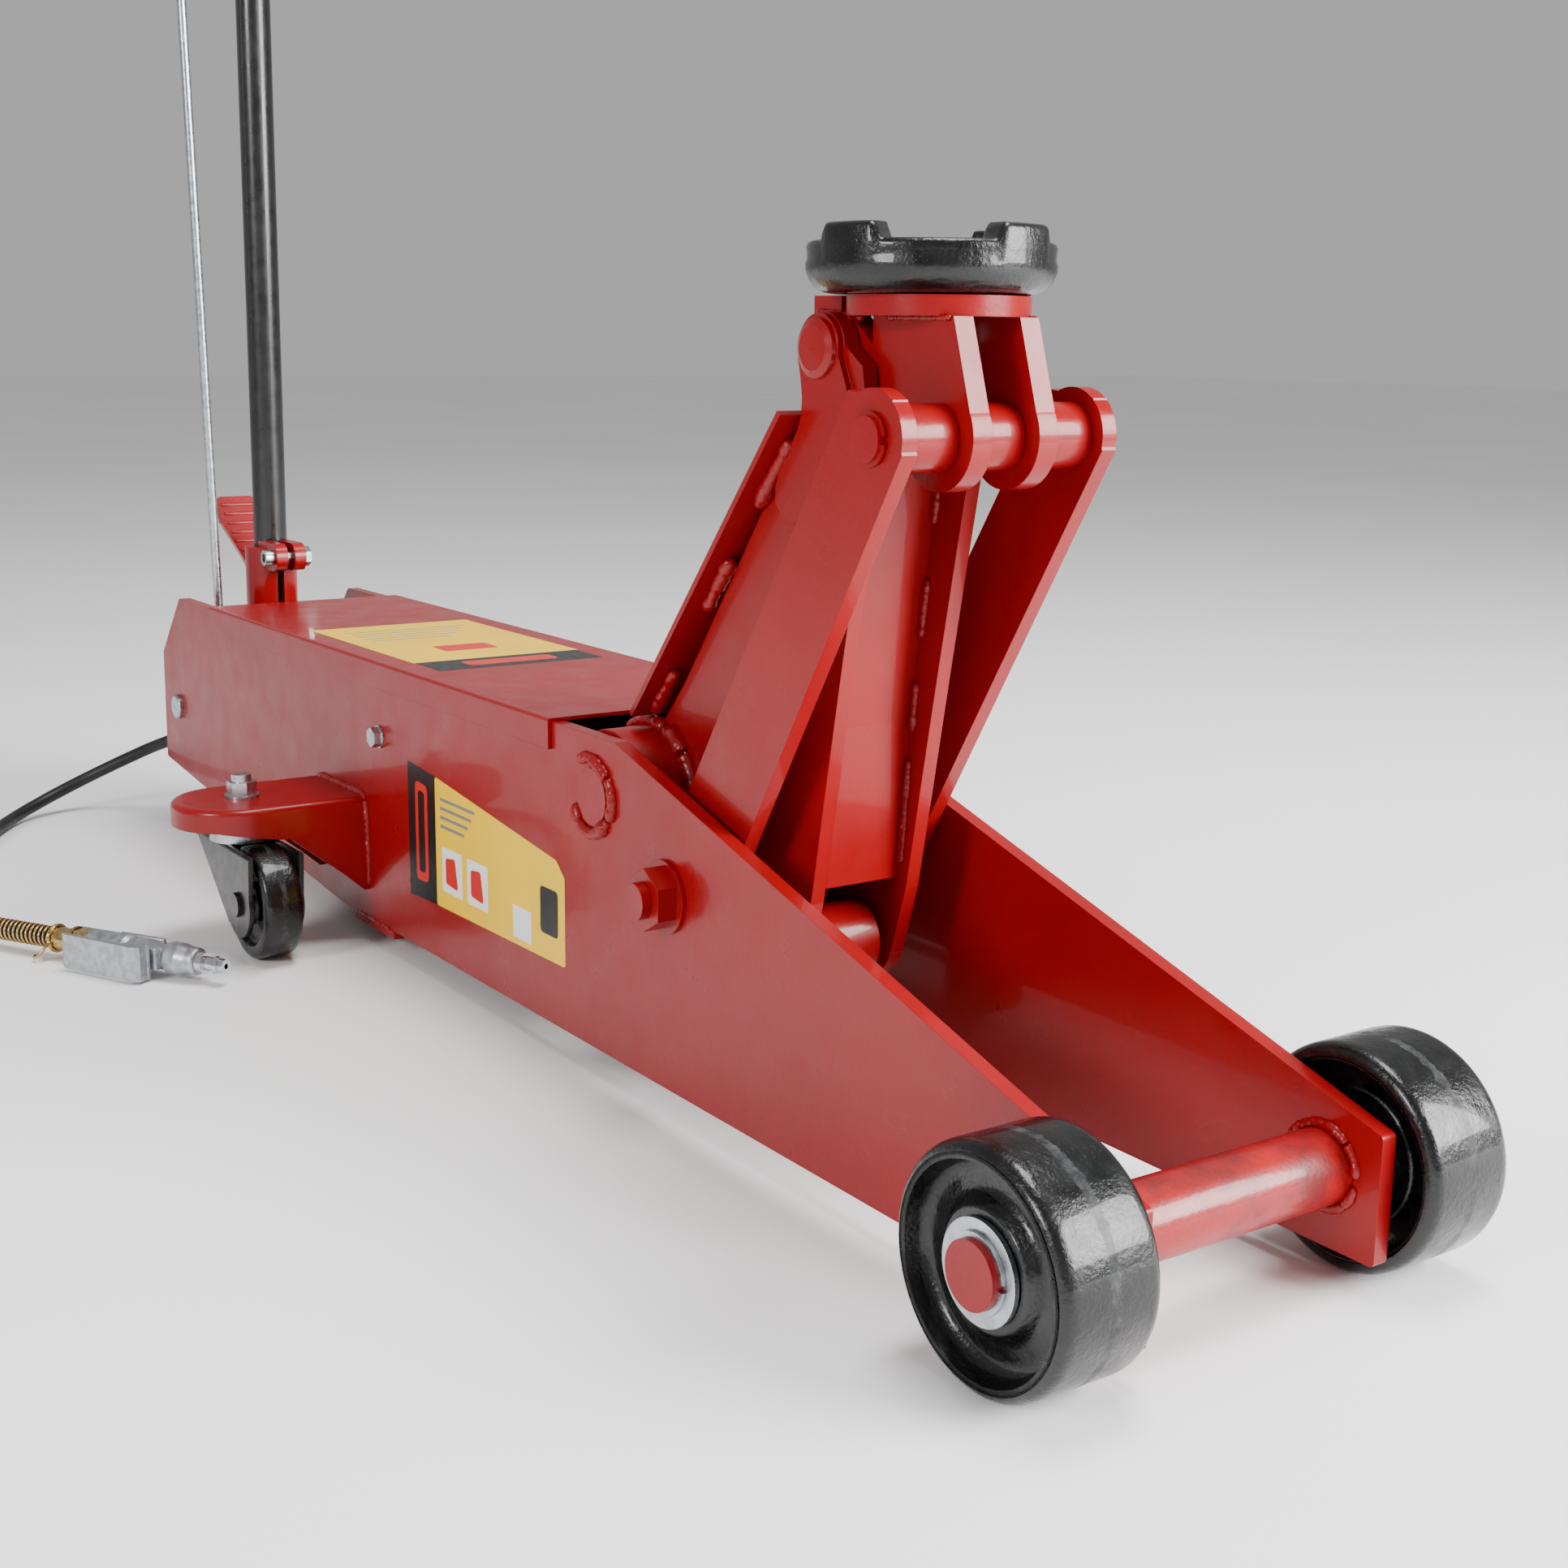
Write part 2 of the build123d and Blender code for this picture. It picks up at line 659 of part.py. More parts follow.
def release_spindle():
    x, y, z = RELEASE_LOW
    stem = bar((x, y, 82), (x, y, 116), RELEASE_R)
    cup = bar((x, y, 113), (x, y, 130), 7.2)
    return stem + cup - Pos(x, y, z) * Sphere(5.6) - bar((x, y, z), (x, y, z + 5), 5.6)


def pedal_face(z):
    """Front of the pedal at a height, as x and the near edge in y."""
    heights = [226, 252, 290, 329]
    fronts = [-1338, -1346, -1364, -1388]
    edges = [0, -3, -18, -24]
    for i in range(3):
        if z <= heights[i + 1]:
            share = (z - heights[i]) / (heights[i + 1] - heights[i])
            x = fronts[i] + (fronts[i + 1] - fronts[i]) * share
            return x, edges[i] + (edges[i + 1] - edges[i]) * share
    return fronts[-1], edges[-1]


def foot_pedal():
    x, z = YOKE
    front = [(x - 12, z + 14), (-1338, 180), (-1338, 226), (-1346, 252), (-1364, 290)]
    front += [(-1388, 329)]
    back = [(-1394, 325), (-1371, 287), (-1353, 250), (-1345, 226), (-1345, 178), (x - 17, z + 8)]
    plate = slab(outline(front + back), -24, 16)
    edges = plate.edges().filter_by(lambda e: e.center().Z > 320 and abs(e.center().Y + 4) > 18)
    plate = fillet(edges.filter_by(lambda e: e.length < 9), 5)
    waist = [(-30, 303), (-24, 303), (-18, 288), (-9, 268), (-3, 250), (0, 226), (0, 150), (-30, 150)]
    side = Plane(origin=(-1420, 0, 0), x_dir=(0, 1, 0), z_dir=(1, 0, 0))
    plate -= extrude(side * outline(waist), 120)
    plate += cross_bar(YOKE, -24, 16, 18)
    for ridge in range(9):
        height = 250 + 8.8 * ridge
        face, edge = pedal_face(height)
        plate += cross_bar((face - 1.2, height), edge + 2.5, 13, 2.2)
    plate -= cross_bar(YOKE, -30, 30, YOKE_SHAFT_R + FIT)
    return plate


def pedal_spring():
    x, z = YOKE
    coil = cross_bar(YOKE, 17.5, 26.3, 17, 13)
    return coil + bar((x - 15, 22, z), (x - 20, 22, z + 34), 1.3)


# ---------------------------------------------------------------- air hose
def tool_point(distance, z=TOOL_Z):
    """Point on the axis of the tap, measured back from its tip."""
    return (TOOL_TIP[0] - TOOL_DIR[0] * distance, TOOL_TIP[1] - TOOL_DIR[1] * distance, z)


def beside(distance, offset):
    """Point to the right of the tap's axis."""
    x, y, z = tool_point(distance)
    return (x + TOOL_DIR[1] * offset, y - TOOL_DIR[0] * offset, z)


def hose_route():
    points = [(-1345, -70, 95), (-1398, -82, 80), (-1445, -118, 53), (-1469, -168, 26)]
    points += [(-1452, -222, 7.5), (-1396, -261, 6.2), (-1318, -302, 6.2), (-1238, -368, 6.2)]
    points += [tool_point(323), tool_point(168)]
    return points


def hose():
    points = [Vector(*p) for p in hose_route()]
    radii = []
    for i in range(1, len(points) - 1):
        before = points[i] - points[i - 1]
        after = points[i + 1] - points[i]
        turn = math.radians(before.get_angle(after))
        radii.append(0.45 * min(before.length, after.length) / math.tan(turn / 2))
    print("hose radii", [round(r) for r in radii])
    path = FilletPolyline(*points, radius=radii)
    start = Plane(origin=path @ 0, z_dir=path % 0)
    tube = sweep(start * Circle(HOSE_R), path=path)
    print("hose length", round(path.length, 1), "volume share",
          round(tube.volume / (math.pi * HOSE_R ** 2 * path.length), 4))
    return tube


def spring_guard():
    return bar(tool_point(250), tool_point(173), 9.2, HOSE_R + 0.05)


def hose_ferrule():
    body = bar(tool_point(173), tool_point(133), 9.5)
    body += hexagon(tool_point(146), tool_point(133), 22)
    body -= bar(tool_point(174), tool_point(168), HOSE_R + 0.05)
    return body


def tap_body():
    body = bar(tool_point(133), tool_point(52), 13)
    body += bar(tool_point(52), tool_point(25), 11)
    body += bar(tool_point(88), beside(88, 20), 6)
    body += bar(beside(77, 11), beside(68, 11), 4)
    return body


def tap_lever():
    side = Plane(origin=tool_point(88), x_dir=(*TOOL_DIR, 0), z_dir=(0, 0, -1))
    face = outline([(26, 15), (22, 15), (21, 26), (-50, 21), (-54, 23.5), (-50, 25.5), (22, 30.5), (27, 27)])
    lever = extrude(side * face, 14, both=True)
    x, y, z = beside(64, 17)
    return lever + bar((x, y, z - 14), (x, y, z + 14), 3)


def tap_nipple():
    body = bar(tool_point(25), tool_point(0), 5.6, 2.2)
    body += bar(tool_point(25), tool_point(19), 8.4, 2.2)
    body += bar(tool_point(9), tool_point(5), 7.0, 2.2)
    return body


def wire_hook():
    loop = Plane(origin=tool_point(150), x_dir=(-TOOL_DIR[1], TOOL_DIR[0], 0),
                 z_dir=(TOOL_DIR[0], TOOL_DIR[1], 0))
    ring = extrude(loop * (Circle(12.4) - Circle(9.55)), 2.6)
    return ring


def paired(solid):
    """One part on the right side and its twin on the left."""
    return {"right": [solid], "left": [mirror(solid, about=Plane.XZ)]}


SIDED = {
    "chassis_plate": chassis_plate,
    "front_wheel": front_wheel,
    "caster_bracket": caster_bracket,
    "caster_fork": caster_fork,
    "caster_axle": caster_axle,
    "caster_wheel": caster_wheel,
}

GROUPS = {
    "top_cover": [top_cover],
    "cross_plates": [bottom_strap, cylinder_plate, pump_shelf, valve_shelf],
    "front_axle": [front_axle],
    "axle_spacer_tube": [axle_spacer],
    "axle_retainers": [axle_washers, axle_rings],
    "link_pivot_bolts": [link_bolts, link_washers, link_nuts],
    "side_screws": [side_screws],
    "caster_kingpins": [caster_races, caster_kingpins],
    "arm_pivot_shaft": [arm_pivot_shaft],
    "arm_side_plates": [arm_side_plates, neck_plates],
    "arm_web_plates": [arm_rear_plate, arm_front_web],
    "arm_pivot_tube": [arm_pivot_tube],
    "crank_roller": [crank_roller, crank_pin],
    "saddle_pin": [saddle_pin],
    "link_bars": [link_bars],
    "cross_pin": [cross_pin, cross_pin_rings],
    "cross_pin_spacers": [cross_spacers],
    "bracket_plate": [bracket_plate],
    "bracket_lugs": [bracket_lugs],
    "saddle": [saddle, saddle_clip],
    "ram_cylinder": [ram_cylinder],
    "ram_gland": [ram_gland],
    "ram_rod": [ram_rod],
    "ram_head": [ram_head],
    "pump_block": [pump_block],
    "pump_plunger": [pump_plunger],
    "oil_tank": [oil_tank, filler_plug],
    "air_motor": [air_motor, air_fitting],
    "release_valve": [release_block, release_pipe],
    "release_spindle": [release_spindle],
    "release_rod": [release_rod],
    "release_knob": [release_knob],
    "rod_guide": [rod_guide],
    "yoke_pins": [yoke_pins],
    "pedal_pin": [pedal_pin],
    "handle_yoke": [handle_yoke],
    "yoke_roller": [yoke_roller, yoke_roller_pin],
    "clamp_bolt": [clamp_bolt, clamp_nut],
    "handle_tube": [handle_tube],
    "handle_grip": [handle_grip],
    "foot_pedal": [foot_pedal],
    "pedal_spring": [pedal_spring],
    "air_hose": [hose],
    "spring_guard": [spring_guard],
    "hose_ferrule": [hose_ferrule, wire_hook],
    "tap_body": [tap_body],
    "tap_lever": [tap_lever],
    "tap_nipple": [tap_nipple],
}

for name, build in SIDED.items():
    for side, solids in paired(build()).items():
        save(name + "_" + side, *solids)

for name, builders in GROUPS.items():
    solids = []
    for build in builders:
        made = build()
        solids += made if isinstance(made, list) else [made]
    save(name, *solids)
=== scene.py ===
import math
import random

import bmesh
import bpy
from mathutils import Matrix, Vector


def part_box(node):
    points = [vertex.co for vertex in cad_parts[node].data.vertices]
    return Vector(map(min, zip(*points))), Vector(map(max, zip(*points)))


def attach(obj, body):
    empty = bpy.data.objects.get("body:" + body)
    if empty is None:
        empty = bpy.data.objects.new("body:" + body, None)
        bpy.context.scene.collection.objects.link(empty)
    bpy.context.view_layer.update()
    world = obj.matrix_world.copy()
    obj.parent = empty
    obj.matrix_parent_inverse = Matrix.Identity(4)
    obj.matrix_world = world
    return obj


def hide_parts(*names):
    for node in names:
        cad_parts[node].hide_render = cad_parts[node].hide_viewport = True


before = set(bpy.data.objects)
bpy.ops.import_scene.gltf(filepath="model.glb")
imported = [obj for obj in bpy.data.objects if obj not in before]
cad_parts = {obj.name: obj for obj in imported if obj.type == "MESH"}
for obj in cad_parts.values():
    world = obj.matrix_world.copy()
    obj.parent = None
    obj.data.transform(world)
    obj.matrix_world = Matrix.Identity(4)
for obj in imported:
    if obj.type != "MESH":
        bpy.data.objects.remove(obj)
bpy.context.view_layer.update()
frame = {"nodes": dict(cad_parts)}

MM = 0.001
AXLE_LOW, AXLE_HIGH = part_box("front_axle")
AXLE_X = (AXLE_LOW.x + AXLE_HIGH.x) / 2
rng = random.Random(7)


def at(x, y, z):
    """Point given in millimetres from the front axle, the middle plane and the floor."""
    return Vector((AXLE_X + x * MM, y * MM, z * MM))


# ---------------------------------------------------------------- camera
def make_camera():
    data = bpy.data.cameras.new("camera")
    data.lens = 47.51
    data.sensor_width = 36.0
    camera = bpy.data.objects.new("camera", data)
    bpy.context.scene.collection.objects.link(camera)
    back = -Vector((-0.80312, 0.55663, -0.21251)).normalized()
    right = Vector((0.56727, 0.82342, 0.01295)).normalized()
    up = back.cross(right)
    turn = Matrix((right, up, back)).transposed().to_4x4()
    camera.matrix_world = Matrix.Translation(at(695.53, -755.78, 499.28)) @ turn
    bpy.context.scene.camera = camera


make_camera()


# ---------------------------------------------------------------- node helpers
def colour(code):
    """Linear colour from an sRGB hex code."""
    parts = [int(code[i:i + 2], 16) / 255 for i in (1, 3, 5)]
    return tuple([((c + 0.055) / 1.055) ** 2.4 if c > 0.04045 else c / 12.92 for c in parts] + [1.0])


def add(mat, kind, inputs=None, **settings):
    """New shader node with its settings and inputs, where an input is a value or another socket."""
    node = mat.node_tree.nodes.new("ShaderNode" + kind)
    for key, value in settings.items():
        setattr(node, key, value)
    for key, value in (inputs or {}).items():
        if isinstance(value, bpy.types.NodeSocket):
            mat.node_tree.links.new(value, node.inputs[key])
        else:
            node.inputs[key].default_value = value
    return node


def surface(name, **values):
    """Empty material with one principled shader, its constant values set on the sockets."""
    mat = bpy.data.materials.new(name)
    mat.use_nodes = True
    mat.node_tree.nodes.clear()
    shader = add(mat, "BsdfPrincipled", {key.replace("_", " "): v for key, v in values.items()})
    output = add(mat, "OutputMaterial")
    mat.node_tree.links.new(shader.outputs[0], output.inputs[0])
    return mat, shader


def feed(mat, socket, shader, key):
    mat.node_tree.links.new(socket, shader.inputs[key])


def place(mat):
    return add(mat, "TexCoord").outputs["Object"]


def noise(mat, size, detail=3.0, roughness=0.5):
    """Cloudy pattern whose features are about this many millimetres across."""
    inputs = {"Vector": place(mat), "Scale": 1.0 / (size * MM), "Detail": detail, "Roughness": roughness}
    return add(mat, "TexNoise", inputs).outputs["Fac"]


def ramp(mat, socket, low, high, start=0.0, end=1.0):
    inputs = {"Value": socket, "From Min": low, "From Max": high, "To Min": start, "To Max": end}
    return add(mat, "MapRange", inputs).outputs[0]


def calc(mat, operation, *values):
    node = add(mat, "Math", operation=operation)
    for i, value in enumerate(values):
        if isinstance(value, bpy.types.NodeSocket):
            mat.node_tree.links.new(value, node.inputs[i])
        else:
            node.inputs[i].default_value = value
    return node.outputs[0]


def mix(mat, share, first, second):
    node = add(mat, "Mix", data_type="RGBA")
    for key, value in (("Factor", share), ("A", first), ("B", second)):
        socket = [s for s in node.inputs if s.name == key and s.type in ("VALUE", "RGBA") and s.enabled][0]
        if isinstance(value, bpy.types.NodeSocket):
            mat.node_tree.links.new(value, socket)
        else:
            socket.default_value = value
    return [s for s in node.outputs if s.type == "RGBA"][0]


def bump(mat, height, shader, distance, strength=1.0, edge=0.6):
    """Surface relief of this depth in millimetres, over edges softened by a small radius."""
    soft = add(mat, "Bevel", {"Radius": edge * MM}, samples=4).outputs[0]
    inputs = {"Height": height, "Distance": distance * MM, "Strength": strength, "Normal": soft}
    feed(mat, add(mat, "Bump", inputs).outputs[0], shader, "Normal")


# ---------------------------------------------------------------- materials
def red_enamel(name="red_enamel", flow=0.1, code="#8E0209"):
    mat, shader = surface(name, Coat_Weight=0.22, Coat_Roughness=0.05, IOR=1.34)
    cloud = noise(mat, 140, 2.0)
    tint = mix(mat, ramp(mat, cloud, 0.3, 0.7), colour(code), colour("#840107"))
    # tiny pale pink specks are mixed into the base colour as painted glints of light on the enamel
    painted_glint_mask = ramp(mat, noise(mat, 1.3, 2.0), 0.79, 0.82)
    glint_speckled_tint = mix(mat, calc(mat, "MULTIPLY", painted_glint_mask, 0.3), tint, colour("#D96A66"))
    feed(mat, glint_speckled_tint, shader, "Base Color")
    feed(mat, ramp(mat, noise(mat, 30, 4.0), 0.3, 0.7, 0.26, 0.4), shader, "Roughness")
    height = calc(mat, "ADD", noise(mat, 3.2, 2.0), calc(mat, "MULTIPLY", noise(mat, 11.0, 2.0), 1.5))
    bump(mat, height, shader, flow)
    return mat


def tube_enamel():
    """Enamel with darker smears where it was handled, for the front spacer tube."""
    mat, shader = surface("worn_red_enamel", Coat_Weight=0.3, Coat_Roughness=0.12, IOR=1.4)
    cloud = noise(mat, 45, 5.0, 0.65)
    tint = mix(mat, ramp(mat, cloud, 0.42, 0.6), colour("#9A0A12"), colour("#6C0E12"))
    feed(mat, tint, shader, "Base Color")
    feed(mat, ramp(mat, cloud, 0.3, 0.7, 0.25, 0.5), shader, "Roughness")
    bump(mat, noise(mat, 3.0), shader, 0.25)
    return mat


def cast_black(name, centre=None, radius=0.0, middle=0.0, band=4.0):
    """Black enamel over cast iron; a wheel gets a grey worn band in the middle of its tread."""
    mat, shader = surface(name, Coat_Weight=0.3, Coat_Roughness=0.06, IOR=1.4)
    coarse = noise(mat, 2.4, 3.0, 0.6)
    base = mix(mat, ramp(mat, noise(mat, 22, 4.0), 0.4, 0.68), colour("#020203"), colour("#060708"))
    rough = ramp(mat, noise(mat, 16, 4.0), 0.35, 0.7, 0.2, 0.42)
    if centre is not None:
        parts = add(mat, "SeparateXYZ", {"Vector": place(mat)}).outputs
        dx = calc(mat, "SUBTRACT", parts[0], centre[0])
        dz = calc(mat, "SUBTRACT", parts[2], centre[2])
        reach = calc(mat, "SQRT", calc(mat, "ADD", calc(mat, "MULTIPLY", dx, dx),
                                       calc(mat, "MULTIPLY", dz, dz)))
        side = calc(mat, "ABSOLUTE", calc(mat, "SUBTRACT", calc(mat, "ABSOLUTE", parts[1]), middle))
        wander = calc(mat, "MULTIPLY", calc(mat, "SUBTRACT", noise(mat, 9, 4.0, 0.7), 0.5), 10 * MM)
        edge = calc(mat, "ADD", side, wander)
        stripe = ramp(mat, edge, band * MM, (band + 1.2) * MM, 1.0, 0.0)
        tread = ramp(mat, reach, (radius - 1.2) * MM, (radius - 0.5) * MM)
        worn = calc(mat, "MULTIPLY", stripe, tread)
        patchy = calc(mat, "MULTIPLY", worn, ramp(mat, noise(mat, 10, 5.0, 0.75), 0.42, 0.66, 0.0, 0.7))
        base = mix(mat, patchy, base, colour("#45474A"))
        rough = calc(mat, "ADD", rough, calc(mat, "MULTIPLY", worn, 0.3))
    feed(mat, base, shader, "Base Color")
    feed(mat, rough, shader, "Roughness")
    height = calc(mat, "ADD", coarse, calc(mat, "MULTIPLY", noise(mat, 9.0, 2.0), 1.2))
    bump(mat, height, shader, 0.45, edge=1.4)
    return mat


def plain_paint(name, code, rough=0.35, coat=0.2, relief=0.06, grain=2.0):
    mat, shader = surface(name, Coat_Weight=coat, Coat_Roughness=0.15, IOR=1.5)
    base = colour(code)
    lighter = tuple([min(1.0, c * 1.25 + 0.004) for c in base[:3]] + [1.0])
    feed(mat, mix(mat, ramp(mat, noise(mat, 25, 3.0), 0.35, 0.7), base, lighter), shader, "Base Color")
    feed(mat, ramp(mat, noise(mat, 12, 4.0), 0.3, 0.7, rough - 0.06, rough + 0.08), shader, "Roughness")
    bump(mat, noise(mat, grain, 3.0), shader, relief)
    return mat


def bare_metal(name, code, rough, relief=0.05, grain=1.2, second=None):
    """Plated or cast bare metal with faint clouding."""
    mat, shader = surface(name, Metallic=1.0)
    tint = mix(mat, ramp(mat, noise(mat, 6, 4.0), 0.35, 0.65), colour(code), colour(second or code))
    feed(mat, tint, shader, "Base Color")
    feed(mat, ramp(mat, noise(mat, 5, 4.0), 0.3, 0.7, rough - 0.08, rough + 0.1), shader, "Roughness")
    bump(mat, noise(mat, grain, 2.0), shader, relief, edge=0.35)
    return mat


def printed_film(name, code):
    """Glossy printed vinyl."""
    mat, shader = surface(name, Coat_Weight=0.1, Coat_Roughness=0.1, IOR=1.34)
    base = colour(code)
    aged = tuple([c * 0.93 for c in base[:3]] + [1.0])
    feed(mat, mix(mat, ramp(mat, noise(mat, 60, 2.0), 0.3, 0.7), base, aged), shader, "Base Color")
    feed(mat, ramp(mat, noise(mat, 8, 3.0), 0.3, 0.7, 0.28, 0.4), shader, "Roughness")
    bump(mat, noise(mat, 14, 2.0), shader, 0.12, edge=0.1)
    return mat


def wheel_middle(node):
    low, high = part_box(node)
    return (low + high) / 2


RED = red_enamel()
WELD_RED = red_enamel("red_enamel_on_weld", flow=0.5, code="#860208")
TUBE_RED = tube_enamel()
BLACK_PAINT = plain_paint("satin_black_paint", "#040405", 0.3, 0.25)
RUBBER = plain_paint("black_hose_rubber", "#060607", 0.5, 0.0, 0.12, 1.0)
PLASTIC = plain_paint("black_moulded_plastic", "#18191B", 0.42, 0.1)
ZINC = bare_metal("zinc_plated_steel", "#C3C8CC", 0.3, second="#A9AFB5")
YELLOW_ZINC = bare_metal("yellow_zinc_plated_steel", "#CDB27A", 0.26, second="#B5935A")
ALUMINIUM = bare_metal("tumbled_cast_aluminium", "#C2C5C9", 0.42, 0.18, 1.6, "#A3A7AC")
CHROME = bare_metal("polished_chrome", "#CFD3D8", 0.14)
SADDLE_BLACK = cast_black("black_enamel_on_cast_iron")
YELLOW_FILM = printed_film("yellow_printed_film", "#F5C600")
BLACK_FILM = printed_film("black_printed_film", "#131314")
WHITE_FILM = printed_film("white_printed_film", "#E9EAE8")
GREY_FILM = printed_film("grey_printed_film", "#77787A")
RED_FILM = printed_film("red_printed_film", "#C81C14")


WHEEL_PAINT = {}


def paint_nodes():
    materials = dict.fromkeys(frame["nodes"], RED)
    for name in ("caster_fork_right", "caster_fork_left", "caster_axle_right", "caster_axle_left",
                 "handle_tube", "yoke_roller", "ram_gland"):
        materials[name] = BLACK_PAINT
    for name in ("side_screws", "caster_kingpins", "yoke_pins", "pedal_pin", "clamp_bolt", "release_rod",
                 "release_spindle", "rod_guide", "pump_plunger", "axle_retainers"):
        materials[name] = ZINC
    materials.update(air_hose=RUBBER, handle_grip=RUBBER, release_knob=PLASTIC, ram_rod=CHROME)
    materials.update(tap_nipple=CHROME, tap_body=ALUMINIUM, tap_lever=ALUMINIUM, air_motor=ALUMINIUM)
    materials.update(hose_ferrule=YELLOW_ZINC, axle_spacer_tube=TUBE_RED, saddle=SADDLE_BLACK)
    for name in ("front_wheel_right", "front_wheel_left", "caster_wheel_right", "caster_wheel_left"):
        centre = wheel_middle(name)
        low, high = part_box(name)
        band = 2.2 if name.startswith("front") else 1.5
        WHEEL_PAINT[name] = cast_black("worn_black_enamel_" + name, centre,
                                       (high.z - low.z) / 2 / MM, abs(centre.y), band)
        materials[name] = WHEEL_PAINT[name]
    for name, mat in materials.items():
        node = frame["nodes"][name]
        node.data.materials.clear()
        node.data.materials.append(mat)


paint_nodes()


# ---------------------------------------------------------------- piece helpers
def finish_piece(obj, mat, body):
    obj.data.materials.clear()
    obj.data.materials.append(mat)
    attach(obj, body)
    return obj


def mesh_piece(name, verts, faces, mat, body, smooth=True):
    data = bpy.data.meshes.new(name)
    data.from_pydata([tuple(v) for v in verts], [], faces)
    data.update()
    clean = bmesh.new()
    clean.from_mesh(data)
    bmesh.ops.recalc_face_normals(clean, faces=clean.faces)
    clean.to_mesh(data)
    clean.free()
    for polygon in data.polygons:
        polygon.use_smooth = smooth
    obj = bpy.data.objects.new(name, data)
    bpy.context.scene.collection.objects.link(obj)
    return finish_piece(obj, mat, body)


def rings_to_mesh(rings):
    """Vertices and faces of a closed tube through equal rings of points."""
    count = len(rings[0])
    verts = [p for ring in rings for p in ring]
    faces = []
    for i in range(len(rings) - 1):
        for j in range(count):
            k = (j + 1) % count
            faces.append((i * count + j, i * count + k, (i + 1) * count + k, (i + 1) * count + j))
    faces.append(tuple(range(count)))
    faces.append(tuple(range((len(rings) - 1) * count, len(rings) * count)))
    return verts, faces


def along(points, step):
    """Evenly spaced points on straight runs."""
    out = [points[0]]
    for a, b in zip(points, points[1:]):
        n = max(1, round((b - a).length / step))
        out += [a.lerp(b, (i + 1) / n) for i in range(n)]
    return out


def bead(name, points, radius, body, ripple=0.06):
    """Weld bead: a smooth run whose width wanders, with faint overlapping ripples."""
    path = along(points, radius * 0.3)
    rings = []
    phase = rng.random() * 6
    for i, p in enumerate(path):
        ahead = path[min(i + 1, len(path) - 1)]
        behind = path[max(i - 1, 0)]
        axis = (ahead - behind).normalized()
        side = axis.orthogonal().normalized()
        other = axis.cross(side)
        lump = 1 + ripple * math.sin(i * 1.3) + 0.13 * math.sin(i * 0.21 + phase) + 0.07 * math.sin(i * 0.53)
        ends = min(i, len(path) - 1 - i) / 4
        size = radius * lump * min(1.0, 0.3 + 0.7 * math.sqrt(min(ends, 1)))
        ring = []
        for j in range(12):
            angle = 2 * math.pi * j / 12
            ring.append(p + side * math.cos(angle) * size + other * math.sin(angle) * size)
        rings.append(ring)
    verts, faces = rings_to_mesh(rings)
    obj = mesh_piece(name, verts, faces, WELD_RED, body)
    smooth = obj.modifiers.new("round", "SUBSURF")
    smooth.levels = 1
    smooth.render_levels = 1
    return obj


def circle(centre, radius, start, end, squash=1.0, wander=0.0):
    """Arc in a plane across y, angles in degrees from forward towards up."""
    points = []
    steps = max(8, int(abs(end - start) / 8))
    for i in range(steps + 1):
        angle = math.radians(start + (end - start) * i / steps)
        r = radius * (1 + wander * math.sin(3 * angle + 1.3))
        points.append(at(centre[0] + r * math.cos(angle), centre[1],
                         centre[2] + r * squash * math.sin(angle)))
    return points


def film(name, outline, mat, y=None, z=None, thick=0.12, lift=0.0):
    """Printed panel stuck on the right plate, or on the cover when z is given."""
    loops = []
    for depth in (lift, lift + thick):
        if z is None:
            loops.append([at(p[0], y - depth, p[1]) for p in outline])
        else:
            loops.append([at(p[0], p[1], z + depth) for p in outline])
    count = len(outline)
    faces = [tuple(range(count)), tuple(range(count, 2 * count))]
    faces += [(i, (i + 1) % count, count + (i + 1) % count, count + i) for i in range(count)]
    return mesh_piece(name, loops[0] + loops[1], faces, mat, "chassis", False)


def rounded(points, radius, steps=5):
    """Outline with its corners rounded, by one radius or by one for each corner."""
    out = []
    for i, corner in enumerate(points):
        size = radius[i] if isinstance(radius, (list, tuple)) else radius
        c = Vector(corner)
        a = (Vector(points[i - 1]) - c).normalized()
        b = (Vector(points[(i + 1) % len(points)]) - c).normalized()
        half = a.angle(b) / 2
        reach = size / math.tan(half)
        start, stop = c + a * reach, c + b * reach
        for k in range(steps + 1):
            t = k / steps
            out.append(tuple(start.lerp(c, t).lerp(c.lerp(stop, t), t)))
    return out


def lathe(name, profile, origin, axis, mat, body, node=None, steps=96):
    """Ring-shaped solid from a closed profile of radius and distance, in millimetres."""
    axis = axis.normalized()
    side = axis.orthogonal().normalized()
    other = axis.cross(side)
    count = len(profile)
    verts, faces = [], []
    for i in range(steps):
        angle = 2 * math.pi * i / steps
        spoke = side * math.cos(angle) + other * math.sin(angle)
        verts += [origin + (axis * d + spoke * r) * MM for r, d in profile]
        n = (i + 1) % steps
        for j in range(count):
            k = (j + 1) % count
            faces.append((i * count + j, n * count + j, n * count + k, i * count + k))
    obj = mesh_piece(name, verts, faces, mat, body)
    obj.data.set_sharp_from_angle(angle=math.radians(35))
    if node:
        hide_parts(node)
    return obj


# ---------------------------------------------------------------- turned parts
ACROSS = Vector((0, 1, 0))


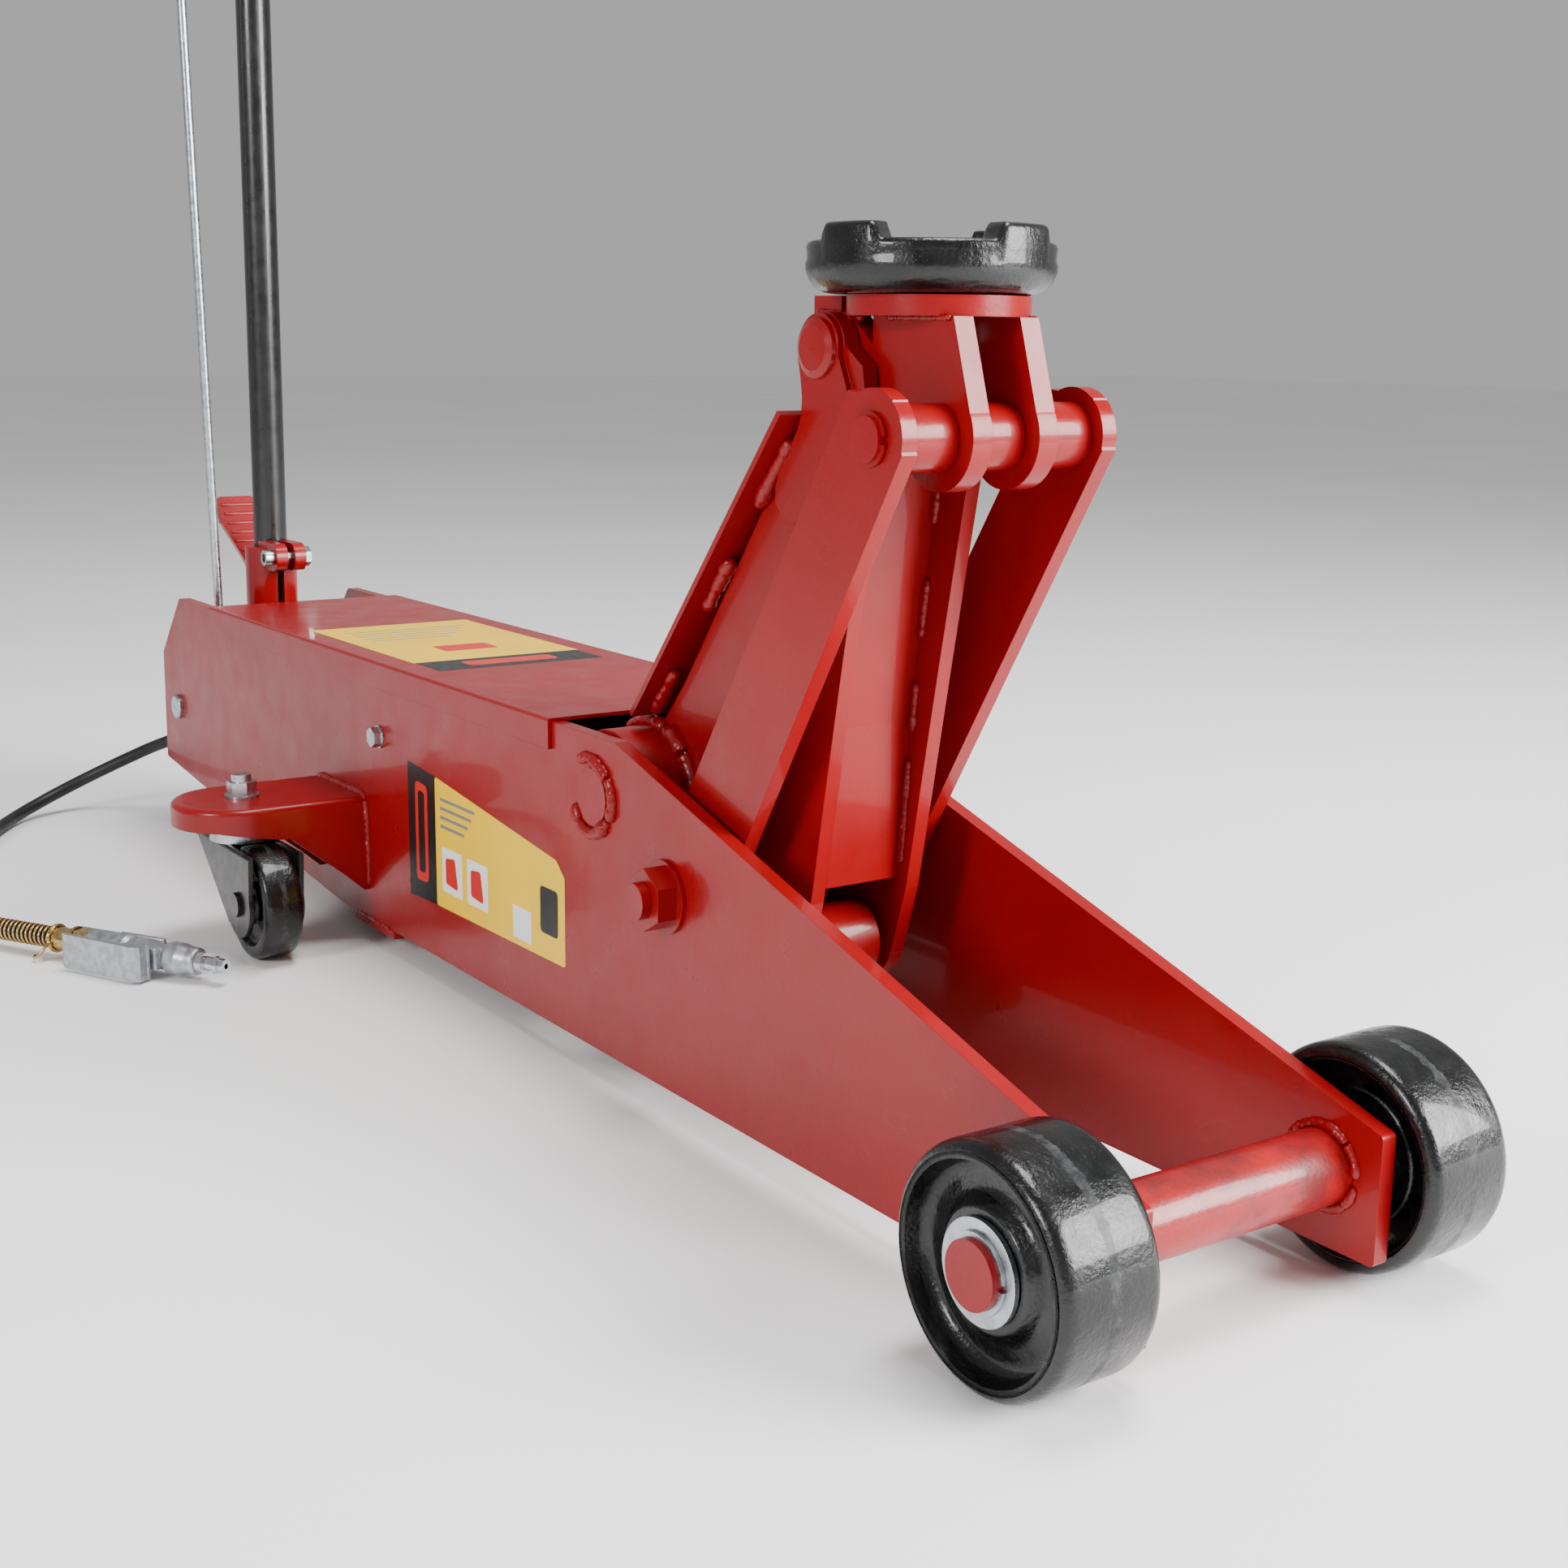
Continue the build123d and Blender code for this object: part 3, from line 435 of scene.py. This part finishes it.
def front_wheel(word, side):
    """Cast wheel with round shoulders, a thin lip and a dished face around its hub."""
    low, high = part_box("front_wheel_" + word)
    radius = (high.z - low.z) / 2 / MM - 0.05
    inner, outer = 97.2, 159.8
    corners = [(17.9, inner + 0.1), (32, inner), (37, 111), (52, 111), (54.5, inner), (radius, inner)]
    corners += [(radius, outer), (57, outer), (52.5, 144.5), (37, 147), (31, 154.6), (17.9, 154.6)]
    profile = rounded(corners, [1, 1, 3, 6, 3, 8, 9, 2.5, 9, 8, 3, 1])
    profile = [(r, side * y) for r, y in profile]
    middle = at(0, 0, (high.z + low.z) / 2 / MM)
    lathe("wheel_casting_" + word, profile, middle, ACROSS, WHEEL_PAINT["front_wheel_" + word],
          word + "_front_wheel", "front_wheel_" + word, 144)


def caster_wheel(word):
    low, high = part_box("caster_wheel_" + word)
    centre = (low + high) / 2
    radius = (high.z - low.z) / 2 / MM - 0.05
    corners = [(6.1, -18.4), (14, -18.4), (17, -10), (33, -10), (35.5, -15.9), (radius, -15.9)]
    corners += [(radius, 15.9), (35.5, 15.9), (33, 10), (17, 10), (14, 18.4), (6.1, 18.4)]
    profile = rounded(corners, [0.5, 1, 3, 3, 1.5, 6, 6, 1.5, 3, 3, 1, 0.5])
    lathe("roll_casting_" + word, profile, centre, ACROSS, WHEEL_PAINT["caster_wheel_" + word],
          word + "_caster_roll", "caster_wheel_" + word)


def sleeve(radius, bore, start, end, edge=0.8):
    """Profile of a plain tube with its edges broken."""
    return rounded([(bore, start), (radius, start), (radius, end), (bore, end)], [0.2, edge, edge, 0.2], 3)


def cross_tubes():
    """Smooth skins for the tubes that lie across the jack."""
    low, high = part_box("axle_spacer_tube")
    radius = (high.z - low.z) / 2 / MM
    middle = (low + high) / 2
    half = (high.y - low.y) / 2 / MM
    lathe("spacer_tube_skin", sleeve(radius - 0.02, 17.9, -half, half), middle, ACROSS, TUBE_RED,
          "chassis", "axle_spacer_tube")
    low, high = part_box("cross_pin_spacers")
    radius = (high.z - low.z) / 2 / MM
    middle = (low + high) / 2
    first = None
    for start, end in ((-66.4, -30.9), (-16.4, 16.4), (30.9, 66.4)):
        piece = lathe("cross_spacer_%d" % round(start + 70), sleeve(radius - 0.02, 12.8, start, end),
                      middle, ACROSS, RED, "link_pair")
        first = first or piece
    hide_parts("cross_pin_spacers")
    low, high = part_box("arm_pivot_tube")
    middle = (low + high) / 2
    radius = (high.z - low.z) / 2 / MM
    half = (high.y - low.y) / 2 / MM
    lathe("pivot_tube_skin", sleeve(radius - 0.02, 19.6, -half, half), middle, ACROSS, RED,
          "lift_arm", "arm_pivot_tube")


for hand, word in ((-1, "right"), (1, "left")):
    front_wheel(word, hand)
    caster_wheel(word)
cross_tubes()


# ---------------------------------------------------------------- air hose
TOOL_DIR = Vector((0.8583, 0.5132, 0.0)).normalized()
TOOL_SIDE = Vector((TOOL_DIR.y, -TOOL_DIR.x, 0.0))
HOSE_ROUTE = [(-1345, -70, 95), (-1398, -82, 80), (-1445, -118, 53), (-1469, -168, 26),
              (-1452, -222, 7.5), (-1396, -261, 6.2), (-1318, -302, 6.2), (-1238, -368, 6.2),
              (-1085.23, -401.76, 16), (-952.19, -322.22, 16)]


def tool(distance, side=0.0, height=16.0):
    """Point by the tap, measured back from its tip, in millimetres."""
    tip = at(-808.0, -236.0, height)
    return tip - TOOL_DIR * distance * MM + TOOL_SIDE * side * MM


def air_hose():
    data = bpy.data.curves.new("air_hose_line", "CURVE")
    data.dimensions = "3D"
    spline = data.splines.new("NURBS")
    spline.points.add(len(HOSE_ROUTE) - 1)
    for point, place_mm in zip(spline.points, HOSE_ROUTE):
        point.co = tuple(at(*place_mm)) + (1.0,)
    spline.order_u = 3
    spline.use_endpoint_u = True
    spline.resolution_u = 24
    data.bevel_depth = 6 * MM
    data.bevel_resolution = 6
    data.use_fill_caps = True
    obj = bpy.data.objects.new("air_hose_rubber", data)
    bpy.context.scene.collection.objects.link(obj)
    finish_piece(obj, RUBBER, "chassis")
    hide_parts("air_hose")
    return obj


def wire(name, points, radius, mat, body="chassis", sides=8):
    """Round wire through points that lie close together."""
    rings = []
    side = None
    for i, p in enumerate(points):
        axis = (points[min(i + 1, len(points) - 1)] - points[max(i - 1, 0)]).normalized()
        side = axis.orthogonal().normalized() if side is None else (side - axis * side.dot(axis)).normalized()
        other = axis.cross(side)
        rings.append([p + (side * math.cos(2 * math.pi * j / sides)
                           + other * math.sin(2 * math.pi * j / sides)) * radius * MM
                      for j in range(sides)])
    verts, faces = rings_to_mesh(rings)
    return mesh_piece(name, verts, faces, mat, body)


def spring_guard():
    turns, start, end = 17, 173.0, 250.0
    points = []
    for i in range(turns * 20 + 1):
        angle = 2 * math.pi * i / 20
        d = start + (end - start) * i / (turns * 20)
        points.append(tool(d, 7.9 * math.cos(angle), 16 + 7.9 * math.sin(angle)))
    obj = wire("spring_guard_coil", points, 1.15, YELLOW_ZINC)
    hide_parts("spring_guard")
    return obj


def wire_hook():
    """Loop of wire under the ferrule with a tail that hooks outwards."""
    points = []
    for i in range(41):
        angle = 2 * math.pi * i / 20
        points.append(tool(171 - 3.0 * i / 40, 10.6 * math.cos(angle), 16 + 10.6 * math.sin(angle)))
    last = [(168.5, 12.5, 14.5), (169.5, 15.5, 11), (172, 18, 7), (175, 19.5, 4.2), (178, 18, 3),
            (180, 15, 4)]
    points += [tool(d, s, h) for d, s, h in last]
    return wire("wire_hook", points, 1.2, YELLOW_ZINC)


def tap_casting():
    """Die-cast valve body: a turned barrel with a round nose; the square boss beside it is made as a separate
    block.
    """
    corners = [(2.4, 25.4), (10.8, 25.4), (11, 33), (12.8, 42), (12.8, 52), (10.6, 56), (10.6, 92)]
    corners += [(12.6, 96), (12.6, 132.8), (2.4, 132.8)]
    profile = rounded(corners, [0.2, 3, 3, 4, 1.2, 1.2, 1.2, 1.2, 1.5, 0.2], 4)
    profile = [(r, -d) for r, d in profile]
    barrel = lathe("tap_barrel", profile, tool(0), TOOL_DIR, ALUMINIUM, "chassis",
                   "tap_body", 64)
    return barrel


def block(name, spans, mat, body, edge=1.2):
    """Box set square to the tap, from spans of distance, side and height, with rounded edges."""
    (d0, d1), (s0, s1), (h0, h1) = spans
    verts = [tool(d, side, h) for d in (d0, d1) for side in (s0, s1) for h in (h0, h1)]
    faces = [(0, 1, 3, 2), (4, 6, 7, 5), (0, 4, 5, 1), (2, 3, 7, 6), (0, 2, 6, 4), (1, 5, 7, 3)]
    obj = mesh_piece(name, verts, faces, mat, body)
    soft = obj.modifiers.new("edges", "BEVEL")
    soft.width = edge * MM
    soft.segments = 3
    obj.data.set_sharp_from_angle(angle=math.radians(50))
    return obj


hose = air_hose()
guard = spring_guard()
barrel = tap_casting()
boss = block("tap_boss", ((58, 92), (2, 13.5), (7.5, 25.5)), ALUMINIUM, "chassis", 1.6)
wing = block("tap_wing", ((60, 104), (-3, 1), (8, 30)), ALUMINIUM, "chassis", 1.4)
stud = block("tap_stud", ((67, 71), (9, 13), (25, 28)), YELLOW_ZINC, "chassis", 1.2)
hook = wire_hook()


# ---------------------------------------------------------------- saddle
def smooth_step(value, low, high):
    t = min(1.0, max(0.0, (value - low) / (high - low)))
    return t * t * (3 - 2 * t)


def saddle_casting():
    """Cast cup with four lugs, as a lathe form whose rim height changes with the angle."""
    low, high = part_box("saddle")
    centre = (low + high) / 2
    widest = (high.x - low.x) / 2 / MM
    top = high.z / MM
    floor, rim, under = top - 16, top - 9, top - 38.1
    steps = 192
    rings = []
    for i in range(steps):
        angle = 2 * math.pi * i / steps
        from_lug = abs((math.degrees(angle) - 10 + 45) % 90 - 45)
        lift = 1 - smooth_step(from_lug, 14.0, 18.5)
        crest = rim + (top - rim) * lift
        profile = [(0, under), (40, under), (56, under), (62, under + 0.8), (67, under + 3.5),
                   (70.6, under + 8), (72.4, under + 13), (72.6 + 0.3 * lift, under + 16.5),
                   (71.6 + 1.0 * lift, under + 19), (71.8 + 0.9 * lift, rim - 6),
                   (72.2 + 0.6 * lift, crest - 3.2), (71.4 + 0.4 * lift, crest - 1.2), (69.6, crest - 0.2),
                   (68, crest), (56, crest), (54.4, crest - 0.6), (53.3, crest - 2), (51.5, floor + 2.5),
                   (50, floor + 0.8), (46, floor), (25, floor), (0, floor)]
        ring = []
        for radius, z in profile:
            r = min(radius * widest / 73.0, widest)
            reach = r * MM
            ring.append(Vector((centre.x + reach * math.cos(angle), centre.y + reach * math.sin(angle),
                                z * MM)))
        rings.append(ring)
    count = len(rings[0])
    verts = [p for ring in rings for p in ring]
    faces = []
    for i in range(steps):
        n = (i + 1) % steps
        for j in range(count - 1):
            faces.append((i * count + j, n * count + j, n * count + j + 1, i * count + j + 1))
    obj = mesh_piece("saddle_casting", verts, faces, SADDLE_BLACK, "saddle_head")
    clean = bmesh.new()
    clean.from_mesh(obj.data)
    bmesh.ops.remove_doubles(clean, verts=clean.verts, dist=0.00002)
    bmesh.ops.recalc_face_normals(clean, faces=clean.faces)
    clean.to_mesh(obj.data)
    clean.free()
    stem = [(0, under + 1), (13.4, under + 1), (13.4, 494.8), (12.6, 494.1), (0, 494.1)]
    rings = []
    for radius, z in stem:
        rings.append([Vector((centre.x + radius * MM * math.cos(2 * math.pi * k / 32),
                              centre.y + radius * MM * math.sin(2 * math.pi * k / 32), z * MM))
                      for k in range(32)])
    verts, faces = rings_to_mesh(rings)
    stem_piece = mesh_piece("saddle_stem", verts, faces, ZINC, "saddle_head")
    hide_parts("saddle")
    return obj, stem_piece


saddle_casting()


# ---------------------------------------------------------------- welds
PLATE_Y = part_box("chassis_plate_left")[1].y / MM


def plate_welds(side):
    """Beads on one outer plate: pivot shaft, caster bracket and front tube."""
    y = side * (PLATE_Y + 0.2)
    word = "right" if side < 0 else "left"
    bead("pivot_weld_lower_" + word, circle((-484, y, 196), 25, 200, 330, 1.0, 0.05), 5.0 * MM, "chassis")
    bead("pivot_weld_upper_" + word, circle((-484, y, 196), 26, -28, 130, 1.0, 0.06), 4.6 * MM, "chassis")
    low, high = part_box("caster_bracket_" + word)
    rear, front = (low.x - AXLE_X) / MM, (high.x - AXLE_X) / MM
    path = [at(rear - 1, y, 118), at(rear + 5, y, 124), at(front - 7, y, 124.5), at(front - 1, y, 120)]
    path += [at(front + 1.2, y, 100), at(front + 1.5, y, 70), at(front + 1, y, 49)]
    bead("caster_weld_" + word, path, 3.6 * MM, "chassis")
    inside = side * 83.0
    bead("axle_tube_weld_" + word, circle((0, inside, 64.3), 23.5, 0, 350), 3.4 * MM, "chassis")
    bead("strap_weld_" + word, [at(-891, side * 92.0, 20), at(-815, side * 92.0, 19.6)], 2.6 * MM, "chassis")


def arm_welds(side):
    """Beads on one side of the lift arm."""
    word = "right" if side < 0 else "left"
    y = side * 43.0
    top, low = Vector((-319.5, 452.0)), Vector((-487.0, 250.5))
    for number, (start, end) in enumerate(((0.06, 0.27), (0.44, 0.62), (0.84, 1.0))):
        a, b = top.lerp(low, start), top.lerp(low, end)
        points = [at(p.x + 2.5, y + side * 2.0, p.y - 2.0) for p in (a, a.lerp(b, 0.5), b)]
        bead("back_weld_%d_%s" % (number, word), points, 5.2 * MM, "lift_arm")
    bead("tube_weld_" + word, circle((-484, side * 43.5, 196), 46.0, -35, 75, 1.0, 0.03), 7.0 * MM,
         "lift_arm")
    bead("tube_weld_rear_" + word, circle((-484, side * 43.5, 196), 45.5, 75, 140, 1.0, 0.03), 6.0 * MM,
         "lift_arm")
    inner = side * 31.5
    for number, (start, end) in enumerate((((-281.5, 425), (-286.5, 388)), ((-291, 355), (-296, 318)),
                                           ((-299.5, 290), (-302.5, 258)), ((-305, 240), (-311, 172)))):
        bead("web_weld_%d_%s" % (number, word), [at(start[0] + 1.5, inner, start[1]),
                                                 at(end[0] + 1.5, inner, end[1])], 3.0 * MM, "lift_arm")
    bead("lug_weld_front_" + word, [at(-198, side * 31.2, 509.2), at(-254, side * 31.2, 509.2)], 2.0 * MM,
         "saddle_bracket")
    bead("lug_weld_rear_" + word, [at(-277, side * 31.2, 509.0), at(-300, side * 31.2, 510.5),
                                   at(-322, side * 31.2, 512.0)], 2.6 * MM, "saddle_bracket")


for hand in (-1, 1):
    plate_welds(hand)
    arm_welds(hand)


# ---------------------------------------------------------------- printed panels
def side_panel():
    y = -PLATE_Y - 0.1
    film("side_panel_black", [(-779, 168.7), (-779, 61), (-730, 63), (-730, 164.7)], BLACK_FILM, y=y)
    body = rounded([(-729.9, 164.7), (-536, 140.8), (-524, 130), (-524, 66), (-729.9, 63)], 3)
    film("side_panel_yellow", body, YELLOW_FILM, y=y)
    film("side_panel_mark_red", rounded([(-766, 156), (-766, 76), (-744, 77), (-744, 154)], 6), RED_FILM,
         y=y, lift=0.13)
    film("side_panel_mark_black", rounded([(-760.5, 149), (-760.5, 83), (-749.5, 84), (-749.5, 148)], 4),
         BLACK_FILM, y=y, lift=0.26)
    for number, x in enumerate((-719, -676)):
        film("side_panel_picture_%d" % number, [(x, 112), (x, 77), (x + 34, 77), (x + 34, 112)], WHITE_FILM,
             y=y, lift=0.13)
        tint = rounded([(x + 6, 104), (x + 6, 84), (x + 27, 82), (x + 22, 106)], 3)
        film("side_panel_tint_%d" % number, tint, RED_FILM, y=y, lift=0.26)
    for number in range(4):
        z = 150 - 7 * number
        film("side_panel_rule_%d" % number, [(-721, z), (-721, z - 2.4), (-662 - 6 * number, z - 2.4),
                                             (-662 - 6 * number, z)], GREY_FILM, y=y, lift=0.13)
    film("side_panel_block", rounded([(-560, 118), (-560, 84), (-534, 84), (-534, 118)], 4), BLACK_FILM,
         y=y, lift=0.13)
    film("side_panel_slip", [(-602, 94), (-602, 70), (-574, 70), (-574, 94)], WHITE_FILM, y=y, lift=0.13)


def cover_panel():
    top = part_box("top_cover")[1].z / MM + 0.05
    film("cover_panel_yellow", [(-1017, -74), (-806, -74), (-806, 74), (-1017, 74)], YELLOW_FILM, z=top)
    film("cover_panel_black", [(-806, -72), (-761, -72), (-761, 72), (-806, 72)], BLACK_FILM, z=top)
    film("cover_panel_mark", rounded([(-795, -40), (-774, -40), (-774, 40), (-795, 40)], 6), RED_FILM,
         z=top, lift=0.13)
    for number in range(5):
        x = -985 + number * 13
        film("cover_panel_rule_%d" % number, [(x, -56), (x + 2.6, -56), (x + 2.6, 56 - 9 * number),
                                              (x, 56 - 9 * number)], GREY_FILM, z=top, lift=0.13)
    film("cover_panel_block", rounded([(-880, -24), (-850, -24), (-850, 24), (-880, 24)], 5), RED_FILM,
         z=top, lift=0.13)


side_panel()
cover_panel()


# ---------------------------------------------------------------- floor and light
def stage():
    mat, shader = surface("pale_floor", Base_Color=colour("#F1F1F1"), Roughness=0.9)
    feed(mat, mix(mat, ramp(mat, noise(mat, 900, 2.0), 0.3, 0.7), colour("#FBFBFB"), colour("#F6F6F6")),
         shader, "Base Color")
    bpy.ops.mesh.primitive_plane_add(size=40, location=(0, 0, -0.0005))
    floor = bpy.context.object
    floor.name = "floor"
    floor.data.materials.append(mat)
    world = bpy.data.worlds.new("studio")
    world.use_nodes = True
    world.node_tree.nodes["Background"].inputs[0].default_value = (1, 1, 1, 1)
    world.node_tree.nodes["Background"].inputs[1].default_value = 0.45
    bpy.context.scene.world = world


def softbox(name, place_m, target, size, power):
    data = bpy.data.lights.new(name, "AREA")
    data.shape = "RECTANGLE"
    data.size, data.size_y = size
    data.energy = power
    lamp = bpy.data.objects.new(name, data)
    bpy.context.scene.collection.objects.link(lamp)
    aim = (Vector(target) - Vector(place_m)).normalized()
    lamp.matrix_world = Matrix.Translation(place_m) @ aim.to_track_quat("-Z", "Y").to_matrix().to_4x4()


stage()
softbox("front_softbox", (2.6, 1.6, 1.35), (0.4, 0, 0.4), (1.8, 1.6), 260)
softbox("side_softbox", (0.9, -3.2, 1.6), (0.1, 0, 0.2), (0.9, 0.9), 75)
softbox("top_softbox", (0.5, 0.4, 3.2), (0.0, 0, 0.2), (1.6, 1.0), 95)
